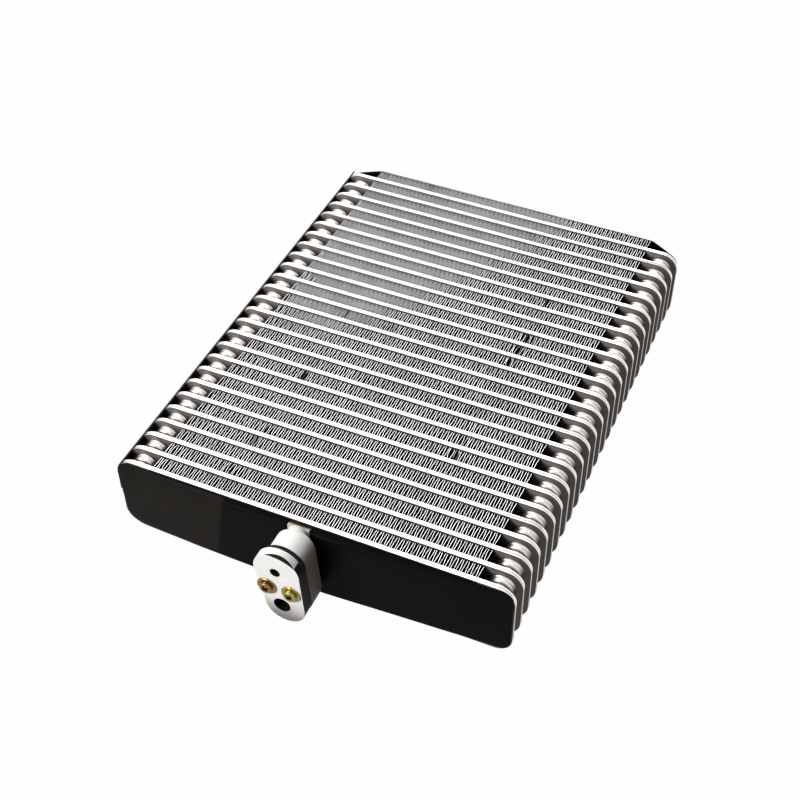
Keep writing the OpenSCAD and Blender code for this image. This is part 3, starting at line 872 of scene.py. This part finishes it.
def screwAndWasher(label, centre, material, shade, shape, turn, hexShare):
    def placed(points):
        # from the joint's axes, with z towards the viewer, to their place on the flange
        x, z = rolled(points[..., 0], points[..., 1], joint["roll"])
        return np.stack([centre[0] + x, centre[1] - points[..., 2], centre[2] + z], -1)

    segments = shape["segments"]
    head, sunk = screwPoints(shape, turn)
    faces = gridQuads(segments, len(head), wrapAcross=True)[:, ::-1]
    screw = newPiece("screw" + label, placed(head), faces, material, smoothAngle=35)
    # painted shade: the faces deep in the cross recess take the dark material
    screw.data.materials.append(shade)
    paintedShadeDeep = sunk.ravel()[faces].mean(1) > shape["shadeFrom"]
    screw.data.polygons.foreach_set("material_index", paintedShadeDeep.astype(np.int32))
    closeRings(screw.data, segments, len(head))
    r, h, hole = shape["washer"], shape["washerHeight"], shape["shank"]
    profile = [(hole, 0.02 * mm), (r * 0.97, 0.02 * mm), (r, 0.15 * mm), (r, h - 0.22 * mm),
               (r * 0.96, h), (shape["head"] * 1.05, h), (hole, h)]
    ring = turned(profile, segments, lambda a: 1 - hexShare * (0.5 + 0.5 * np.cos(6 * a)))
    faces = gridQuads(segments, len(profile), wrapAcross=True, wrapAlong=True)[:, ::-1]
    washer = newPiece("washer" + label, placed(ring[::-1]), faces, material, smoothAngle=35)
    for piece in (screw, washer):
        turnOutward(piece.data)
        standFor(piece, "zinc_steel", "flange_screws")


# front sheet, in mm: a skin drawn over the duct cover, creased where it turns, with a notch
# below the block's foot
frontSheet = {
    "left": -107.4, "cornerLeft": -109.2, "cornerFrom": 11.0, "cornerTo": 36.5,
    "right": 108.5, "rise": 2.4, "riseFrom": 8.2, "riseTo": 102.0,
    "low": 0.5, "high": 45.5, "margin": 0.02,
    "lowLeftRadius": 11.0, "lowRightRadius": 6.0, "topLeftRadius": 9.0, "topRightRadius": 6.0,
    "notchLeft": -10.1, "notchRight": 3.3, "notchLow": 3.1,
    "nearest": 0.9, "furthest": 4.25, "thickness": 0.8, "soft": 0.10,
    "ripple": 0.12, "rippleLength": 34, "rippleSeed": 31, "rippleFrom": 1, "rippleRun": 1.5,
    "dent": 0.35, "dentX": -2.5, "dentReach": 22,
    "rows": 44, "notchRows": 9, "columns": 90, "notchColumns": 16,
}
# points of the skin in mm: X, Z and how far it stands out
skinPoints = np.array([
    (-44.5, 43.7, 3.4), (-49.5, 12.0, 3.4), (-68.0, 1.6, 3.0), (13.5, 43.2, 4.3), (7.7, 0.5, 4.0),
    (-107.4, 39.5, 1.0), (-107.4, 11.5, 1.0), (-101.4, 45.5, 1.0), (-96.4, 0.5, 1.0),
    (-104.2, 3.7, 1.0), (-105.6, 43.7, 1.0), (102.0, 45.5, 1.0), (108.0, 39.5, 1.0),
    (106.2, 43.7, 1.0), (108.0, 9.5, 1.0), (102.0, 3.5, 1.0), (106.2, 5.3, 1.0),
])


def drawnFacets(points):
    # the planes through three of the points that leave every other point on or below them, as
    # on a skin pulled tight
    planes = []
    for a, b, c in itertools.combinations(points, 3):
        n = np.cross(b - a, c - a)
        if abs(n[2]) < 1e-6:
            continue
        slopeX, slopeZ = -n[0] / n[2], -n[1] / n[2]
        start = a[2] - slopeX * a[0] - slopeZ * a[1]
        heights = start + slopeX * points[:, 0] + slopeZ * points[:, 1]
        if (points[:, 2] <= heights + 1e-6).all():
            planes.append((slopeX, slopeZ, start))
    return np.unique(np.round(planes, 9), axis=0)


def skinHeight(planes, x, z, soft):
    # the lowest of the facets' planes at each point, blended softly where two meet:
    # lowest - soft * log of the sum of exp(-(height - lowest) / soft)
    heights = planes[:, :1, None] * x + planes[:, 1:2, None] * z + planes[:, 2:, None]
    lowest = heights.min(0)
    return lowest - soft * np.log(np.exp(-(heights - lowest) / soft).sum(0))


def outlineSpan(z, shape):
    # left and right edge of the sheet at height z, its corners round
    wider = np.clip((z - shape["cornerFrom"]) / (shape["cornerTo"] - shape["cornerFrom"]), 0, 1)
    start = shape["left"] + (shape["cornerLeft"] - shape["left"]) * wider
    left, right = start.copy(), np.full_like(z, shape["right"])
    lowRight = shape["low"] + shape["rise"]
    # radius, height of the corner, whether it opens upwards (1) or downwards (-1), and its side
    corners = ((shape["lowLeftRadius"], shape["low"], 1, "left"),
               (shape["lowRightRadius"], lowRight, 1, "right"),
               (shape["topLeftRadius"], shape["high"], -1, "left"),
               (shape["topRightRadius"], shape["high"], -1, "right"))
    for radius, corner, up, side in corners:
        depth = np.clip(radius - up * (z - corner), 0, radius)
        back = radius - np.sqrt(np.maximum(radius ** 2 - depth ** 2, 0))
        if side == "left":
            left = np.maximum(left, start + back)
        else:
            right = np.minimum(right, shape["right"] - back)
    # below the right corner the edge runs straight down towards the block
    share = np.clip((z - shape["low"]) / shape["rise"], 0, 1)
    straight = shape["riseFrom"] + (shape["riseTo"] - shape["riseFrom"]) * share
    return left, np.where(z < lowRight, straight, right)


def sheetPatch(xLow, xHigh, z, columns):
    x = xLow[:, None] + (xHigh - xLow)[:, None] * eased(columns)
    return x, np.repeat(z[:, None], columns, 1)


def frontSheetPiece(material, shape, frontY):
    # rows from the lower edge to the notch, and from the notch to the upper edge
    low, high = shape["low"] + shape["margin"], shape["high"] - shape["margin"]
    notch = shape["notchLow"]
    lower = np.linspace(low, notch, shape["notchRows"])[:-1]
    z = np.concatenate([lower, notch + (high - notch) * eased(shape["rows"])])
    left, right = outlineSpan(z, shape)
    notchLeft, notchRight = (np.full_like(z, shape[side]) for side in ("notchLeft", "notchRight"))
    strip = slice(0, shape["notchRows"])
    patches = (sheetPatch(left, notchLeft, z, shape["columns"]),
               sheetPatch(notchRight, right, z, shape["columns"]),
               sheetPatch(notchLeft[strip], notchRight[strip], z[strip], shape["notchColumns"]))
    planes = drawnFacets(skinPoints)
    points, faces, count = [], [], 0
    for x, height in patches:
        # small ripples where it stands out, and a dent that deepens upwards behind the block
        out = skinHeight(planes, x, height, shape["soft"])
        ripple = waves(x + 0.7 * height, shape["rippleSeed"], shape["rippleLength"])
        freed = np.clip((out - shape["rippleFrom"]) / shape["rippleRun"], 0, 1)
        out = out + shape["ripple"] * ripple * freed
        dent = np.clip(1 - np.abs(x - shape["dentX"]) / shape["dentReach"], 0, 1) ** 2
        out = out - shape["dent"] * dent * np.clip(height / core["depth"], 0, 1)
        out = np.clip(out, shape["nearest"], shape["furthest"])
        place = [(x + core["middleX"]) * mm, frontY - out * mm, height * mm]
        points.append(np.stack(place, -1).reshape(-1, 3))
        faces.append(gridQuads(x.shape[1], x.shape[0]) + count)
        count += x.size
    piece = newPiece("skinOverFront", np.vstack(points), np.vstack(faces), material, smoothAngle=50)
    mergeCorners(piece.data, 1e-7)
    thicken(piece, shape["thickness"] * mm, -1)
    standFor(piece, "insulation_sheet", "front_sheet")
    return piece


# back sheet, in mm: a profile across the core carried up its depth, over the last fin and down
# to the last tube
backSheet = {
    "flat": 89.8, "edge": 102.5, "end": 108.2, "drop": 8.2, "roundShare": 0.25,
    "low": 0.6, "high": 44.9, "lift": 0.95, "radius": 9.6, "cornerPast": 0.5, "margin": 0.02,
    "nearest": 0.9, "furthest": 0.98, "thickness": 0.8,
    "ripple": 0.08, "rippleLength": 30, "rippleSeed": 77,
    "rows": 26, "steps": (13, 13, 89, 13, 13),
}


def backSheetPiece(material, shape, startY):
    flat, edge, end = shape["flat"], shape["edge"], shape["end"]
    marks = (-end, -edge, -flat, flat, edge, end)
    x = np.concatenate([np.linspace(start, stop, count, endpoint=False) for start, stop, count
                        in zip(marks, marks[1:], shape["steps"])] + [[end]])
    rise = np.clip((edge - np.abs(x)) / (edge - flat), 0, 1)
    smooth = rise * rise * (3 - 2 * rise)
    rise = smooth * shape["roundShare"] + rise * (1 - shape["roundShare"])
    # the corners are round: radius - sqrt(radius^2 - past^2)
    r = shape["radius"]
    past = np.clip(np.abs(x) - (end + shape["cornerPast"] - r), 0, r - shape["margin"])
    cut = r - np.sqrt(r ** 2 - past ** 2)
    low, high = shape["low"] + cut, shape["high"] + shape["lift"] * (1 - rise) - cut
    z = low + (high - low) * np.linspace(0, 1, shape["rows"])[:, None]
    ripple = shape["ripple"] * waves(x + 0.5 * z, shape["rippleSeed"], shape["rippleLength"])
    y = shape["drop"] * rise + np.minimum(shape["nearest"] + ripple, shape["furthest"])
    x = np.broadcast_to(x, z.shape)
    points = np.stack([(x + core["middleX"]) * mm, startY + y * mm, z * mm], -1)
    faces = gridQuads(x.shape[1], len(z))
    piece = newPiece("skinOverBack", points, faces, material, smoothAngle=50)
    thicken(piece, shape["thickness"] * mm, 1)
    standFor(piece, "insulation_sheet", "back_sheet")
    return piece


# side tape, in mm: bent round the plates' upper left corners, along the whole stack
sideTape = {
    "top": 43.6, "width": 21.0, "outset": 0.78, "thickness": 0.73, "margin": 0.05,
    "uneven": 0.25, "unevenLength": 60 * mm, "unevenSeed": 12,
    "rows": 150, "columns": 30,
}


def sideTapePiece(material, shape, low, high):
    along = np.linspace(low.y, high.y, shape["rows"])[:, None]
    share = np.linspace(0, 1, shape["columns"])
    r = core["corner"] + shape["outset"]
    bendX, bendZ = core["corner"] - core["halfWidth"], core["depth"] - core["corner"]
    topAngle = math.asin((shape["top"] - bendZ) / r)
    # the way down from the upper edge, which starts unevenly: first round the corner by
    # way / r, then straight
    uneven = 1 + waves(along, shape["unevenSeed"], shape["unevenLength"])
    way = share * shape["width"] + shape["uneven"] * uneven * (1 - share)
    angle = np.clip(topAngle - way / r, 0, None)
    x = bendX - r * np.cos(angle)
    z = bendZ + r * np.sin(angle) - np.clip(way - r * topAngle, 0, None)
    z = np.maximum(z, low.z / mm + shape["margin"])
    along = np.broadcast_to(along, x.shape)
    points = np.stack([(x + core["middleX"]) * mm, along, z * mm], -1)
    faces = gridQuads(x.shape[1], len(x))
    piece = newPiece("tapeAlongSide", points, faces, material, smoothAngle=50)
    thicken(piece, shape["thickness"] * mm, 1)
    standFor(piece, "foam_tape", "side_tape")
    return piece


# studio: pale floor, white world, soft lamps above
studio = {
    "floor": (0.30, 0.30, 0.30),
    "floorReach": 8,
    "floorDrop": 0.3 * mm,
    "white": 0.985,
    "world": 0.10,
    # name, place, size, power, and the point that it faces
    "lamps": (
        ("overhead", (-0.35, 0.75, 1.05), (1.5, 1.1), 15.0, (0.0, 0.0, 0.0)),
        ("frontLeft", (-0.9, -1.35, 0.75), (0.8, 0.8), 30.0, (0.0, 0.0, 0.0)),
        ("behind", (-0.3, 2.4, 0.75), (2.6, 1.3), 4.0, (0.0, 0.0, 0.1)),
    ),
}


def backgroundRays(tree):
    # 1 where the camera sees the background, straight or through metal and glass
    path = addNode(tree, "LightPath").outputs
    mirrored = mathNode("MAXIMUM", path["Is Camera Ray"], path["Is Glossy Ray"])
    return mathNode("MAXIMUM", mirrored, path["Is Transmission Ray"])


def addStudio(settings):
    bpy.context.scene.view_settings.view_transform = "Standard"
    world = bpy.data.worlds.new("studioWorld")
    bpy.context.scene.world = world
    world.use_nodes = True
    tree = world.node_tree
    tree.nodes.clear()
    lit, plain = (setInputs(addNode(tree, "Background"), Color=(1, 1, 1, 1),
                            Strength=strength) for strength in (settings["world"], 1.0))
    mixed = mixShaders(backgroundRays(tree), lit, plain)
    join(mixed, addNode(tree, "OutputWorld").inputs[0])
    for name, place, size, power, aim in settings["lamps"]:
        lamp = bpy.data.lights.new(name, "AREA")
        lamp.shape = "RECTANGLE"
        lamp.size, lamp.size_y = size
        lamp.energy = power
        holder = bpy.data.objects.new(name, lamp)
        holder.location = place
        towards = Vector(aim) - Vector(place)
        holder.rotation_euler = towards.to_track_quat("-Z", "Y").to_euler()
        bpy.context.scene.collection.objects.link(holder)


def addFloor(settings):
    material = bpy.data.materials.new("studioFloor")
    material.use_nodes = True
    tree = material.node_tree
    shader = setInputs(tree.nodes["Principled BSDF"], Base_Color=(*settings["floor"], 1),
                       Roughness=0.8)
    glow = setInputs(addNode(tree, "Emission"), Color=(1, 1, 1, 1), Strength=1.0)
    share = product(backgroundRays(tree), settings["white"])
    mixed = mixShaders(share, shader, glow)
    join(mixed, tree.nodes["Material Output"].inputs[0])
    side = settings["floorReach"]
    corners = np.array([(-side, -side, 0), (side, -side, 0), (side, side, 0), (-side, side, 0)])
    faces = np.array([(0, 1, 2, 3)])
    floor = newPiece("studioFloor", corners, faces, material, smoothAngle=40)
    floor.location.z = -settings["floorDrop"]


addCamera(viewpoint)
addStudio(studio)
addFloor(studio)
print("camera and studio ready")

tubeLow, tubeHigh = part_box("tube_02")
firstSeam = (tubeLow.y + tubeHigh.y) / 2 - core["pitch"] * mm
brazedPlate = tubeMaterial(firstSeam, tubeFinish)
finStripMetal = finMaterial(firstSeam, finFinish)
castMetal = castMaterial(castFinish)
blackSkin = skinMaterial(skinFinish)
plain = {name: plainMaterial(name, *finish) for name, finish in plainFinishes.items()}
print("materials ready")

paint("front_duct_cover", plain["ductMetal"])
for number in range(1, core["tubes"] + 1):
    tubePiece(number, brazedPlate, rimWave)
    finPiece(number, finStripMetal, finStrip)
print("tubes and fins ready")

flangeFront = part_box("flange_plate")[0].y
block = roundedPiece("joint_block", "castBlock", castMetal, "cast_aluminium", softEdges["block"])
darkenFaces(block, plain["portShade"])
flange = roundedPiece("flange_plate", "castFlange", castMetal, "cast_aluminium",
                      softEdges["flange"])
darkenFaces(flange, plain["portShade"], flangeFront + joint["crescentDepth"])
roundedPiece("joint_seal", "rubberSeal", plain["sealRubber"], "seal_rubber", softEdges["seal"],
             softEdges["sealSegments"])
for label, along, across, finish, turn, hexShare in screws:
    x, z = rolled(along, across, joint["roll"])
    centre = (joint["x"] + x * mm, flangeFront, joint["z"] + z * mm)
    screwAndWasher(label, centre, plain[finish], plain["portShade"], screwShape, turn, hexShare)
print("joint block ready")

firstFront = firstSeam - core["tubeThickness"] / 2 * mm
front = frontSheetPiece(blackSkin, frontSheet, firstFront)
back = backSheetPiece(blackSkin, backSheet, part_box("back_sheet")[0].y)
tapeLow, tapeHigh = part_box("side_tape")
tape = sideTapePiece(plain["blackFoam"], sideTape, tapeLow, tapeHigh)
print("sheets and tape ready")
